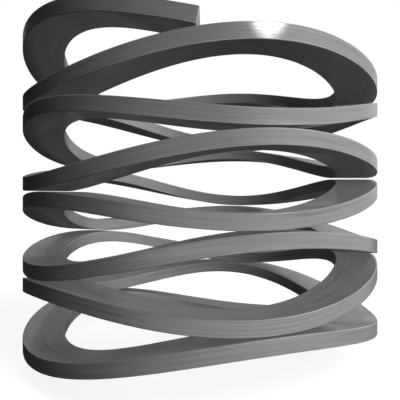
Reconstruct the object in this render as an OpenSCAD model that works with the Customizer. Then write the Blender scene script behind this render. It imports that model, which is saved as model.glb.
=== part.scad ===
// Crest-to-crest wave spring: one flat wire, wound on edge into a wavy right-handed coil.
// The crests of each turn all but touch the troughs of the turn above.
// Z is the axis of the coil, and the lowest point of the wire lies at z = 0.
// Angles run around the axis from +X towards +Y, and go on past 360 from turn to turn.

/* [Wire] */
// Width of the flat wire, from the inside of the coil to the outside
wire_w = 2.7; // [1:0.1:5]
// Thickness of the flat wire
wire_t = 0.9; // [0.3:0.05:1.5]

/* [Coil] */
// Outside diameter of the coil
outside_d = 25; // [16:0.5:60]
// Turns from one end of the wire to the other
turns = 7.6; // [3:0.1:12]
// Angle at which the lower end of the wire is cut off
start_angle = 53.5; // [0:0.5:359]

/* [Wave] */
// Waves in each turn, with a half over so that crests come under troughs
waves_per_turn = 2.5; // [2.5:1:6.5]
// Height of the wave, from trough to crest
wave_h = 1.66; // [0.4:0.02:3]
// Gap between a crest and the trough above it
crest_gap = 0.1; // [0.02:0.02:0.5]

/* [Top end] */
// How far the top end of the wire bends down out of the wave
tip_dip = 0.53; // [0:0.01:1]
// Length of wire that bends down, as an angle around the axis
tip_angle = 46; // [10:1:60]
// Gap kept between the top end and the turn under it
tip_gap = 0.06; // [0.02:0.02:0.5]

/* [Smoothness] */
// Flat steps that stand for the wave in each turn
steps_per_turn = 90; // [60:6:120]

/* [Hidden] */

outer_r = outside_d / 2;
inner_r = outer_r - wire_w;
mean_r = outer_r - wire_w / 2;
pitch = wire_t + wave_h + crest_gap;
end_angle = start_angle + 360 * turns;

// Width of strip that is trimmed off at each wall, and length of tube past each end
spare = 0.5;
// Sides of the round walls in a preview
$fn = 360;

// Climb of the wire in degrees, where it rises by rise over some degrees of a turn
function climb(rise, degrees) = atan2(rise, degrees * PI / 180 * mean_r);

// The wave without its bent end: height and climb at an angle
function wave_z(angle) = pitch * angle / 360 + wave_h / 2 * cos(waves_per_turn * angle);
function wave_climb(angle) = climb(wave_z(angle + 1) - wave_z(angle - 1), 2);

// Upright thickness of the wire where it climbs
function upright_t(angle) = wire_t / cos(wave_climb(angle));

// How far the wire can go down before it meets the turn under it
function room_below(angle) =
    wave_z(angle) - wave_z(angle - 360) - tip_gap
    - max(upright_t(angle), upright_t(angle - 360));

// The top end bends down on a curve that starts level with the wave
function bend(angle) =
    let (share = max(0, 1 - (end_angle - angle) / tip_angle))
    min(tip_dip * pow(share, 2), room_below(angle));

// Height and climb of the middle of the wire at an angle, looking no further than its top end
function wire_z(angle) = wave_z(angle) - bend(angle);
function wire_climb(angle) =
    let (to = min(angle + 1, end_angle))
    climb(wire_z(to) - wire_z(angle - 1), to - angle + 1);

// One corner of the wire's section, which stands square to the wire
function corner(angle, r, side) =
    let (
        lean = wire_climb(angle),
        at = angle - side * sin(lean) / r * 180 / PI
    )
    [r * cos(at), r * sin(at), wire_z(angle) + side * cos(lean)];

// The four corners of a section, from its lower inner corner round to its upper inner one
function section(angle, inside, outside) = [
    corner(angle, inside, -wire_t / 2),
    corner(angle, outside, -wire_t / 2),
    corner(angle, outside, wire_t / 2),
    corner(angle, inside, wire_t / 2)
];

// Two triangles for each of the four sides between section i and the next one
function side_faces(i) = [
    for (k = [0:3])
        let (a = 4 * i + k, b = 4 * i + (k + 1) % 4)
        each [[a, b, b + 4], [a, b + 4, a + 4]]
];

// The wavy strip between two radii, cut square at both ends and standing on z = 0
module strip(inside, outside) {
    steps = ceil(turns * steps_per_turn);
    points = [
        for (i = [0:steps])
            each section(start_angle + (end_angle - start_angle) * i / steps, inside, outside)
    ];
    sides = [for (i = [0:steps - 1]) each side_faces(i)];
    last = 4 * steps;
    start_face = [[0, 3, 2], [0, 2, 1]];
    end_face = [[last, last + 1, last + 2], [last, last + 2, last + 3]];
    low = min([for (p = points) p[2]]);
    translate([0, 0, -low])
        polyhedron(
            points = points,
            faces = concat(start_face, sides, end_face),
            convexity = 20
        );
}

// Room between the two working diameters, over the whole height of the coil
module walls() {
    h = pitch * (turns + 1) + wave_h;
    translate([0, 0, -spare])
        difference() {
            cylinder(r = outer_r, h = h);
            translate([0, 0, -spare])
                cylinder(r = inner_r, h = h + 2 * spare);
        }
}

// The wire is a wider strip, trimmed to true round walls inside and outside
module wave_spring() {
    color("gray")
        intersection() {
            strip(inner_r - spare, outer_r + spare);
            walls();
        }
}

wave_spring();
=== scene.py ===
"""A crest-to-crest wave spring of flat steel wire, standing on a pale floor in soft studio light.

The wire is swept as a plain helix with its cut ends trimmed, and then bent into its wave.
Lengths are in metres.
"""
import math

import bmesh
import bpy
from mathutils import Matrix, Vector


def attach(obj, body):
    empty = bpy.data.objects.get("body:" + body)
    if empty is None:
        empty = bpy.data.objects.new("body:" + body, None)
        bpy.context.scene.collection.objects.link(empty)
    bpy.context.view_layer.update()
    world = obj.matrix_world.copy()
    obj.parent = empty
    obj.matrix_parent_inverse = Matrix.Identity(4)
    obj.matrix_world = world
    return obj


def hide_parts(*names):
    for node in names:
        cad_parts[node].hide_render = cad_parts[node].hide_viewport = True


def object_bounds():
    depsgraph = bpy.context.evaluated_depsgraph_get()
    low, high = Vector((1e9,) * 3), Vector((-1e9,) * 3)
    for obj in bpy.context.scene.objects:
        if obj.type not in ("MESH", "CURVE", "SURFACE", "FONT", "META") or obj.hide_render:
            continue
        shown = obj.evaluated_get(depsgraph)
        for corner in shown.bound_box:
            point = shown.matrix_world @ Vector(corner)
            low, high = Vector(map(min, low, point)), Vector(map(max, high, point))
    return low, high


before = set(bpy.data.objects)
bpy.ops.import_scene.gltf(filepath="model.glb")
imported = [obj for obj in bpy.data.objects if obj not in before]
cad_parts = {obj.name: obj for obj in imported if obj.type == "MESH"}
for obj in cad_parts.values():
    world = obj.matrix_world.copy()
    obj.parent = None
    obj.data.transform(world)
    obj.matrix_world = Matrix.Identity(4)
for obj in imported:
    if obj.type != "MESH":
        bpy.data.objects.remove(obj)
cad_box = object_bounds()

MM = 0.001
TURN = 2 * math.pi

# The wire and its coil, as the solid has them
WIRE_W = 2.7 * MM
WIRE_T = 0.9 * MM
OUTER_R = (cad_box[1][0] - cad_box[0][0]) / 2
MEAN_R = OUTER_R - WIRE_W / 2
TURNS = 7.6
START = math.radians(53.5)
END = START + TURN * TURNS
WAVES = 2.5
WAVE_H = 1.66 * MM
PITCH = WIRE_T + WAVE_H + 0.1 * MM
TIP_DIP = 0.53 * MM
TIP_ANGLE = math.radians(46)
TIP_GAP = 0.06 * MM

# How finely the wire is made
STEPS_PER_TURN = 180
EDGE_R = 0.055 * MM
EDGE_SEGMENTS = 3
CUT_R = 0.03 * MM
END_RING = math.radians(0.4)

# The steel: its grey, how metallic and rough it is, how shiny edge on, and the oil film on it
STEEL_GREY = 0.32
STEEL_METALLIC = 0.5
STEEL_ROUGHNESS = 0.42
STEEL_EDGE_ON = 0.5
FILM_WEIGHT = 0.22
FILM_ROUGHNESS = 0.1

# The photograph's camera, which looks level along +Y
CAMERA_BACK = 36.17 * MM
CAMERA_HEIGHT = 11.14 * MM
CAMERA_LENS = 43.35
SENSOR = 36.0

# The middle of the photograph's one white glint, at the upper edge of the top turn's outer face
GLINT_ANGLE = math.radians(-73.6)
GLINT_HEIGHT = 20.27 * MM

# The studio: its dark side against its white one, and how much light it gives besides what is mirrored
DARK_SIDE = 0.02
SURROUND_LIGHT = 0.02

# The floor: its paint and glow to the camera, its paint to other rays, and a painted patch of light that
# only metal mirrors, bright towards the key and painted shade away from it
FLOOR_GREY = 0.6
FLOOR_GLOW = 0.52
FLOOR_BOUNCE = 0.03
# painted light: how bright the floor glows in reflections towards the key, and how far that glow takes to
# rise
PAINTED_POOL_GLOW = 0.8
PAINTED_POOL_REACH = 30 * MM


def climb(rise, angle):
    """The slope of the wire's middle line where it rises by rise over an angle."""
    return math.atan2(rise, angle * MEAN_R)


def wave_z(angle):
    """The height of the wave at an angle, before the top end is bent."""
    return PITCH * angle / TURN + WAVE_H / 2 * math.cos(WAVES * angle)


def upright_t(angle):
    """The upright thickness of the wire where it climbs."""
    step = math.radians(1)
    return WIRE_T / math.cos(climb(wave_z(angle + step) - wave_z(angle - step), 2 * step))


def bend(angle):
    """How far the top end has come down out of the wave, as far as the turn under it lets it."""
    share = max(0.0, 1 - (END - angle) / TIP_ANGLE)
    thick = max(upright_t(angle), upright_t(angle - TURN))
    room = wave_z(angle) - wave_z(angle - TURN) - TIP_GAP - thick
    return min(TIP_DIP * share**2, room)


def wire_z(angle):
    return wave_z(angle) - bend(angle)


def wire_climb(angle):
    """The slope of the wire at an angle, looking no further than its top end."""
    step = math.radians(1)
    ahead = min(angle + step, END)
    return climb(wire_z(ahead) - wire_z(angle - step), ahead - angle + step)


def wire_section(bm):
    """The rounded rectangle of the wire's section, standing at the middle radius in the XZ plane."""
    bmesh.ops.create_grid(bm, x_segments=1, y_segments=1, size=0.5)
    for v in bm.verts:
        v.co = Vector((MEAN_R + v.co.x * WIRE_W, 0, v.co.y * WIRE_T))
    bmesh.ops.bevel(
        bm,
        geom=bm.verts[:],
        offset=EDGE_R,
        offset_type="OFFSET",
        affect="VERTICES",
        segments=EDGE_SEGMENTS,
        profile=0.5,
        material=-1,
    )


def spin_on(bm, geom, angle, steps):
    """Winds the section on by an angle, and gives back its last place."""
    wound = bmesh.ops.spin(
        bm,
        geom=geom,
        cent=(0, 0, 0),
        axis=(0, 0, 1),
        dvec=(0, 0, PITCH * angle / TURN / steps),
        angle=angle,
        steps=steps,
        use_merge=False,
        use_normal_flip=False,
        use_duplicate=False,
    )
    return wound["geom_last"]


def plain_helix(bm):
    """The section wound into a plain helix from angle 0 and height 0, with a close ring inside each end."""
    middle = TURN * TURNS - 2 * END_RING
    winding = bm.verts[:] + bm.edges[:] + bm.faces[:]
    winding = spin_on(bm, winding, END_RING, 1)
    winding = spin_on(bm, winding, middle, math.ceil(middle / TURN * STEPS_PER_TURN))
    spin_on(bm, winding, END_RING, 1)
    bmesh.ops.recalc_face_normals(bm, faces=bm.faces[:])


def trim_cut_ends(bm):
    """A small bevel round the two sawn ends of the wire."""
    caps = [f for f in bm.faces if len(f.verts) > 4]
    rims = [e for cap in caps for e in cap.edges]
    bmesh.ops.bevel(
        bm,
        geom=rims,
        offset=CUT_R,
        offset_type="OFFSET",
        affect="EDGES",
        segments=2,
        profile=0.5,
        clamp_overlap=True,
        material=-1,
    )


def place_on_wire(co):
    """A helix point's angle along the wire, its radius, and how far it lies above the middle line."""
    around = math.atan2(co.y, co.x)
    turn = round((co.z / PITCH) - around / TURN)
    angle = around + TURN * turn
    return angle, math.hypot(co.x, co.y), co.z - PITCH * angle / TURN


def bend_into_wave(bm):
    """Moves each point of the helix to the wavy wire, and keeps its place on the straight wire."""
    straight = bm.verts.layers.float_vector.new("straight_wire")
    for v in bm.verts:
        along, r, side = place_on_wire(v.co)
        v[straight] = Vector((along * MEAN_R, r - MEAN_R, side))
        angle = START + along
        lean = wire_climb(angle)
        at = angle - side * math.sin(lean) / r
        v.co = Vector((r * math.cos(at), r * math.sin(at), wire_z(angle) + side * math.cos(lean)))
    low = min(v.co.z for v in bm.verts)
    bmesh.ops.translate(bm, verts=bm.verts[:], vec=(0, 0, -low))


def mark_cut_faces(bm):
    """The cut faces meet their trimmed rims at sharp edges, so that the shading doesn't run round them."""
    for face in bm.faces:
        if len(face.verts) > 4:
            for edge in face.edges:
                edge.smooth = False


def outward(place):
    """The way out of the wire at a place on the straight wire, or none at a cut end, which needs none."""
    along, across, side = place
    angle = START + along / MEAN_R
    if min(angle - START, END - angle) < END_RING / 2:
        return Vector()
    core_w = WIRE_W / 2 - EDGE_R
    core_t = WIRE_T / 2 - EDGE_R
    out = across - max(-core_w, min(core_w, across))
    up = side - max(-core_t, min(core_t, side))
    r = MEAN_R + across
    lean = wire_climb(angle)
    at = angle - side * math.sin(lean) / r
    slope = math.atan(math.tan(lean) * MEAN_R / r)
    from_axis = Vector((math.cos(at), math.sin(at), 0))
    round_axis = Vector((-math.sin(at), math.cos(at), 0))
    upward = Vector((0, 0, math.cos(slope))) - round_axis * math.sin(slope)
    return (from_axis * out + upward * up).normalized()


def make_object(name, bm, smooth):
    mesh = bpy.data.meshes.new(name)
    bm.to_mesh(mesh)
    bm.free()
    mesh.polygons.foreach_set("use_smooth", [smooth] * len(mesh.polygons))
    made = bpy.data.objects.new(name, mesh)
    bpy.context.scene.collection.objects.link(made)
    return made


def make_spring():
    bm = bmesh.new()
    wire_section(bm)
    plain_helix(bm)
    trim_cut_ends(bm)
    mark_cut_faces(bm)
    bend_into_wave(bm)
    spring = make_object("wave_spring_wire", bm, smooth=True)
    places = spring.data.attributes["straight_wire"].data
    spring.data.normals_split_custom_set_from_vertices([outward(p.vector) for p in places])
    return spring


def grey(value):
    return (value, value, value, 1)


def node_group(name, inputs, outputs):
    """A shader group, its inputs given as names, types and values, and its outputs as names and types."""
    tree = bpy.data.node_groups.new(name, "ShaderNodeTree")
    for label, kind, value in inputs:
        socket = tree.interface.new_socket(label, in_out="INPUT", socket_type=kind)
        if value is not None:
            socket.default_value = value
    for label, kind in outputs:
        tree.interface.new_socket(label, in_out="OUTPUT", socket_type=kind)
    return tree, tree.nodes.new("NodeGroupInput").outputs, tree.nodes.new("NodeGroupOutput").inputs


def feed(tree, socket, value):
    """Gives a node's input a number, a vector, or another node's output."""
    if isinstance(value, bpy.types.NodeSocket):
        tree.links.new(value, socket)
    else:
        socket.default_value = value


def worked_out(tree, operation, first, second=0.0, third=0.0):
    """What a Math node makes of its values."""
    node = tree.nodes.new("ShaderNodeMath")
    node.operation = operation
    for socket, value in zip(node.inputs, (first, second, third)):
        feed(tree, socket, value)
    return node.outputs["Value"]


def ramp(tree, value, start, end, low=0.0, high=1.0):
    """A value that goes smoothly from low to high as another one goes from start to end."""
    node = tree.nodes.new("ShaderNodeMapRange")
    node.interpolation_type = "SMOOTHSTEP"
    feed(tree, node.inputs["Value"], value)
    feed(tree, node.inputs["From Min"], start)
    feed(tree, node.inputs["From Max"], end)
    feed(tree, node.inputs["To Min"], low)
    feed(tree, node.inputs["To Max"], high)
    return node.outputs["Result"]


def blend_of(tree, factor, first, second, kind="FLOAT"):
    node = tree.nodes.new("ShaderNodeMix")
    node.data_type = kind
    names = ("Factor", "A", "B")
    sockets = [next(s for s in node.inputs if s.name == n and s.enabled) for n in names]
    for socket, value in zip(sockets, (factor, first, second)):
        feed(tree, socket, value)
    return next(s for s in node.outputs if s.enabled)


def vector_math(tree, operation, vector, by):
    node = tree.nodes.new("ShaderNodeVectorMath")
    node.operation = operation
    feed(tree, node.inputs[0], vector)
    node.inputs[1].default_value = by
    return node.outputs


def stretched(tree, vector, scale):
    return vector_math(tree, "MULTIPLY", vector, scale)["Vector"]


def reach_along(tree, vector, way):
    """How far a vector reaches along a direction."""
    return vector_math(tree, "DOT_PRODUCT", vector, way)["Value"]


def noise(tree, vector, scale, detail=3.0, distortion=0.0):
    node = tree.nodes.new("ShaderNodeTexNoise")
    feed(tree, node.inputs["Vector"], vector)
    feed(tree, node.inputs["Scale"], scale)
    node.inputs["Detail"].default_value = detail
    node.inputs["Distortion"].default_value = distortion
    return node.outputs["Fac"]


def rolling_marks_group():
    """Fine lines that the rolls leave along flat wire, some of them deeper than the rest."""
    tree, given, out = node_group(
        "rolling marks",
        [("Wire place", "NodeSocketVector", None), ("Lines per mm", "NodeSocketFloat", 9.0)],
        [("Lines", "NodeSocketFloat"), ("Deep lines", "NodeSocketFloat")],
    )
    per_metre = worked_out(tree, "MULTIPLY", given["Lines per mm"], 1 / MM)
    fine_place = stretched(tree, given["Wire place"], (0.02, 1.0, 1.0))
    fine = noise(tree, fine_place, per_metre, detail=4.0)
    coarse_place = stretched(tree, given["Wire place"], (0.05, 1.0, 1.0))
    coarse = noise(tree, coarse_place, worked_out(tree, "MULTIPLY", per_metre, 0.35), detail=2.0)
    feed(tree, out["Lines"], fine)
    feed(tree, out["Deep lines"], ramp(tree, coarse, start=0.62, end=0.70))
    return tree


def edge_wear_group():
    """How worn the wire is: its four long edges and the rims of its cut ends, unevenly rubbed."""
    tree, given, out = node_group(
        "edge wear",
        [
            ("Wire place", "NodeSocketVector", None),
            ("Object place", "NodeSocketVector", None),
            ("Reach in mm", "NodeSocketFloat", 0.1),
        ],
        [("Wear", "NodeSocketFloat")],
    )
    parts = tree.nodes.new("ShaderNodeSeparateXYZ")
    feed(tree, parts.inputs["Vector"], given["Wire place"])
    from_side = worked_out(tree, "SUBTRACT", WIRE_W / 2, worked_out(tree, "ABSOLUTE", parts.outputs["Y"]))
    from_face = worked_out(tree, "SUBTRACT", WIRE_T / 2, worked_out(tree, "ABSOLUTE", parts.outputs["Z"]))
    from_edge = worked_out(tree, "ADD", from_side, from_face)
    patches = noise(tree, given["Object place"], 0.6 / MM, detail=3.0)
    patchy = ramp(tree, patches, start=0.3, end=0.7, low=0.4 * MM, high=1.4 * MM)
    uneven = worked_out(tree, "MULTIPLY", given["Reach in mm"], patchy)
    wear = ramp(tree, from_edge, start=uneven, end=0.0)
    feed(tree, out["Wear"], wear)
    return tree


def oil_film_group():
    """Broad soft clouds, where a thin film of oil lies thicker or thinner on the steel."""
    tree, given, out = node_group(
        "oil film",
        [("Object place", "NodeSocketVector", None), ("Patch size in mm", "NodeSocketFloat", 3.0)],
        [("Film", "NodeSocketFloat")],
    )
    scale = worked_out(tree, "DIVIDE", 1 / MM, given["Patch size in mm"])
    clouds = noise(tree, given["Object place"], scale, detail=4.0, distortion=0.6)
    feed(tree, out["Film"], ramp(tree, clouds, start=0.35, end=0.65))
    return tree


def place_group(tree, group):
    node = tree.nodes.new("ShaderNodeGroup")
    node.node_tree = group
    return node


def spring_steel():
    """Satin grey steel with rolling marks along the wire, a thin oil film and edges worn brighter."""
    material = bpy.data.materials.new("spring steel")
    material.use_nodes = True
    tree = material.node_tree
    shader = tree.nodes["Principled BSDF"]
    wire_place = tree.nodes.new("ShaderNodeAttribute")
    wire_place.attribute_name = "straight_wire"
    wire_place = wire_place.outputs["Vector"]
    object_place = tree.nodes.new("ShaderNodeTexCoord").outputs["Object"]

    marks = place_group(tree, rolling_marks_group())
    feed(tree, marks.inputs["Wire place"], wire_place)
    wear = place_group(tree, edge_wear_group())
    feed(tree, wear.inputs["Wire place"], wire_place)
    feed(tree, wear.inputs["Object place"], object_place)
    film = place_group(tree, oil_film_group())
    feed(tree, film.inputs["Object place"], object_place)

    lined = ramp(tree, marks.outputs["Lines"], start=0.3, end=0.7, low=0.9, high=1.1)
    filmed = blend_of(tree, film.outputs["Film"], 1.05, 0.94)
    deep = worked_out(tree, "MULTIPLY_ADD", marks.outputs["Deep lines"], -0.16, 1.0)
    rubbed = worked_out(tree, "MULTIPLY_ADD", wear.outputs["Wear"], 0.45, 1.0)
    rolled = worked_out(tree, "MULTIPLY", lined, filmed)
    used = worked_out(tree, "MULTIPLY", deep, rubbed)
    tone = worked_out(tree, "MULTIPLY", rolled, used)
    colour = blend_of(tree, worked_out(tree, "MULTIPLY", tone, STEEL_GREY), grey(0), grey(1), "RGBA")
    feed(tree, shader.inputs["Base Color"], colour)

    metal = blend_of(tree, film.outputs["Film"], STEEL_METALLIC + 0.07, STEEL_METALLIC - 0.07)
    metal = worked_out(tree, "MULTIPLY_ADD", wear.outputs["Wear"], 0.2, metal)
    feed(tree, shader.inputs["Metallic"], metal)

    rough = STEEL_ROUGHNESS + 0.05
    smooth = STEEL_ROUGHNESS - 0.05
    satin = ramp(tree, marks.outputs["Lines"], start=0.3, end=0.7, low=rough, high=smooth)
    oiled = worked_out(tree, "MULTIPLY_ADD", film.outputs["Film"], -0.05, satin)
    polished = worked_out(tree, "MULTIPLY_ADD", wear.outputs["Wear"], -0.08, oiled)
    feed(tree, shader.inputs["Roughness"], polished)

    coat = blend_of(tree, film.outputs["Film"], FILM_WEIGHT - 0.1, FILM_WEIGHT + 0.1)
    feed(tree, shader.inputs["Coat Weight"], coat)
    shader.inputs["Coat Roughness"].default_value = FILM_ROUGHNESS
    shader.inputs["Specular Tint"].default_value = grey(STEEL_EDGE_ON)

    grooves = worked_out(tree, "MULTIPLY_ADD", marks.outputs["Deep lines"], -1.0, marks.outputs["Lines"])
    bump = tree.nodes.new("ShaderNodeBump")
    bump.inputs["Strength"].default_value = 0.5
    bump.inputs["Distance"].default_value = 0.004 * MM
    feed(tree, bump.inputs["Height"], grooves)
    feed(tree, shader.inputs["Normal"], bump.outputs["Normal"])
    return material


def photo_camera():
    """The photograph's own view, from close in front of the coil and level with its middle."""
    camera = bpy.data.objects.new("camera", bpy.data.cameras.new("camera"))
    bpy.context.scene.collection.objects.link(camera)
    camera.location = (0, -CAMERA_BACK, CAMERA_HEIGHT)
    camera.rotation_euler = (math.pi / 2, 0, 0)
    camera.data.sensor_width = SENSOR
    camera.data.lens = CAMERA_LENS
    camera.data.clip_start = 1 * MM
    bpy.context.scene.camera = camera


def direction(azimuth, elevation):
    """The direction at an azimuth, in degrees from +X towards +Y, and an elevation."""
    a = math.radians(azimuth)
    e = math.radians(elevation)
    return Vector((math.cos(a) * math.cos(e), math.sin(a) * math.cos(e), math.sin(e)))


def place_lamp(lamp, way):
    """Puts a lamp in the scene, which shines from a direction."""
    placed = bpy.data.objects.new(lamp.name, lamp)
    placed.rotation_mode = "QUATERNION"
    placed.rotation_quaternion = way.to_track_quat("Z", "Y")
    bpy.context.scene.collection.objects.link(placed)
    return placed


def soft_lamp(name, azimuth, elevation, strength, spread):
    """A far softbox, which looks as wide from the spring as its spread in degrees."""
    lamp = bpy.data.lights.new(name, "SUN")
    lamp.energy = strength
    lamp.angle = math.radians(spread)
    return place_lamp(lamp, direction(azimuth, elevation))


def narrow_lamp(name, target, azimuth, elevation, distance, power, radius, beam):
    """A small lamp in a snoot, whose beam is so narrow that it lights one place."""
    way = direction(azimuth, elevation)
    lamp = bpy.data.lights.new(name, "SPOT")
    lamp.energy = power
    lamp.shadow_soft_size = radius
    lamp.spot_size = math.radians(beam)
    lamp.spot_blend = 1.0
    place_lamp(lamp, way).location = target + way * distance


def studio_lamps():
    """A key, an even fill that casts no shadows inside the coil, a weak light behind and the glint.

    The metal mirrors the surround in place of the key and the fill, which would glare on it.
    """
    key = soft_lamp("key in front on the right", azimuth=-45, elevation=42, strength=0.9, spread=30)
    fill = soft_lamp("even fill", azimuth=-45, elevation=36, strength=3.3, spread=30)
    key.visible_glossy = False
    fill.visible_glossy = False
    fill.data.use_shadow = False
    soft_lamp("light behind", azimuth=115, elevation=45, strength=0.3, spread=60)
    glint = Vector((OUTER_R * math.cos(GLINT_ANGLE), OUTER_R * math.sin(GLINT_ANGLE), GLINT_HEIGHT))
    narrow_lamp(
        "glint",
        glint,
        azimuth=-50,
        elevation=21,
        distance=120 * MM,
        power=0.5,
        radius=0.3 * MM,
        beam=0.8,
    )


def mirrored(tree, ray):
    """1 for the rays that metal or glass sends on, and 0 for the rest."""
    return worked_out(tree, "MAXIMUM", ray["Is Glossy Ray"], ray["Is Transmission Ray"])


def studio_world():
    """White to the camera, and to the steel a studio that is white on the right and dark on the left."""
    world = bpy.data.worlds.new("studio")
    bpy.context.scene.world = world
    world.use_nodes = True
    tree = world.node_tree
    ray = tree.nodes.new("ShaderNodeLightPath").outputs
    outlook = tree.nodes.new("ShaderNodeTexCoord").outputs["Generated"]
    to_white_side = reach_along(tree, outlook, direction(azimuth=10, elevation=5))
    walls = ramp(tree, to_white_side, start=0.1, end=0.7, low=DARK_SIDE, high=1.0)
    dimmed = worked_out(tree, "MULTIPLY", walls, blend_of(tree, mirrored(tree, ray), SURROUND_LIGHT, 1.0))
    background = tree.nodes["Background"]
    background.inputs["Color"].default_value = grey(1)
    feed(tree, background.inputs["Strength"], worked_out(tree, "MAXIMUM", dimmed, ray["Is Camera Ray"]))


def floor_paint_and_painted_light():
    """Pale matt paint, which glows enough to the camera to join the background and keeps the shadow. To
    mirrored rays it glows with a painted patch of light towards the key and painted shade away from it.
    """
    material = bpy.data.materials.new("floor paint and painted light")
    material.use_nodes = True
    tree = material.node_tree
    shader = tree.nodes["Principled BSDF"]
    ray = tree.nodes.new("ShaderNodeLightPath").outputs
    place = tree.nodes.new("ShaderNodeTexCoord").outputs["Object"]
    # painted light for reflections: the floor glows brighter towards the key, with painted shade on the far
    # side
    to_key = reach_along(tree, place, direction(azimuth=-45, elevation=0))
    painted_light_patch = ramp(tree, to_key, start=0.0, end=PAINTED_POOL_REACH, low=DARK_SIDE, high=PAINTED_POOL_GLOW)
    glow = worked_out(tree, "MULTIPLY", ray["Is Camera Ray"], FLOOR_GLOW)
    glow = worked_out(tree, "MULTIPLY_ADD", mirrored(tree, ray), painted_light_patch, glow)
    colour = blend_of(tree, ray["Is Camera Ray"], grey(FLOOR_BOUNCE), grey(FLOOR_GREY), "RGBA")
    feed(tree, shader.inputs["Base Color"], colour)
    shader.inputs["Roughness"].default_value = 0.9
    shader.inputs["Specular IOR Level"].default_value = 0.0
    shader.inputs["Emission Color"].default_value = grey(1)
    feed(tree, shader.inputs["Emission Strength"], glow)
    return material


def make_floor():
    bm = bmesh.new()
    bmesh.ops.create_circle(bm, cap_ends=True, segments=64, radius=3.0)
    floor = make_object("floor", bm, smooth=False)
    floor.data.materials.append(floor_paint_and_painted_light())
    return floor


photo_camera()
studio_lamps()
studio_world()
make_floor()

spring = make_spring()
spring.data.materials.append(spring_steel())
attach(spring, "root")
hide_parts("wave_spring")

bpy.context.scene.view_settings.view_transform = "Standard"
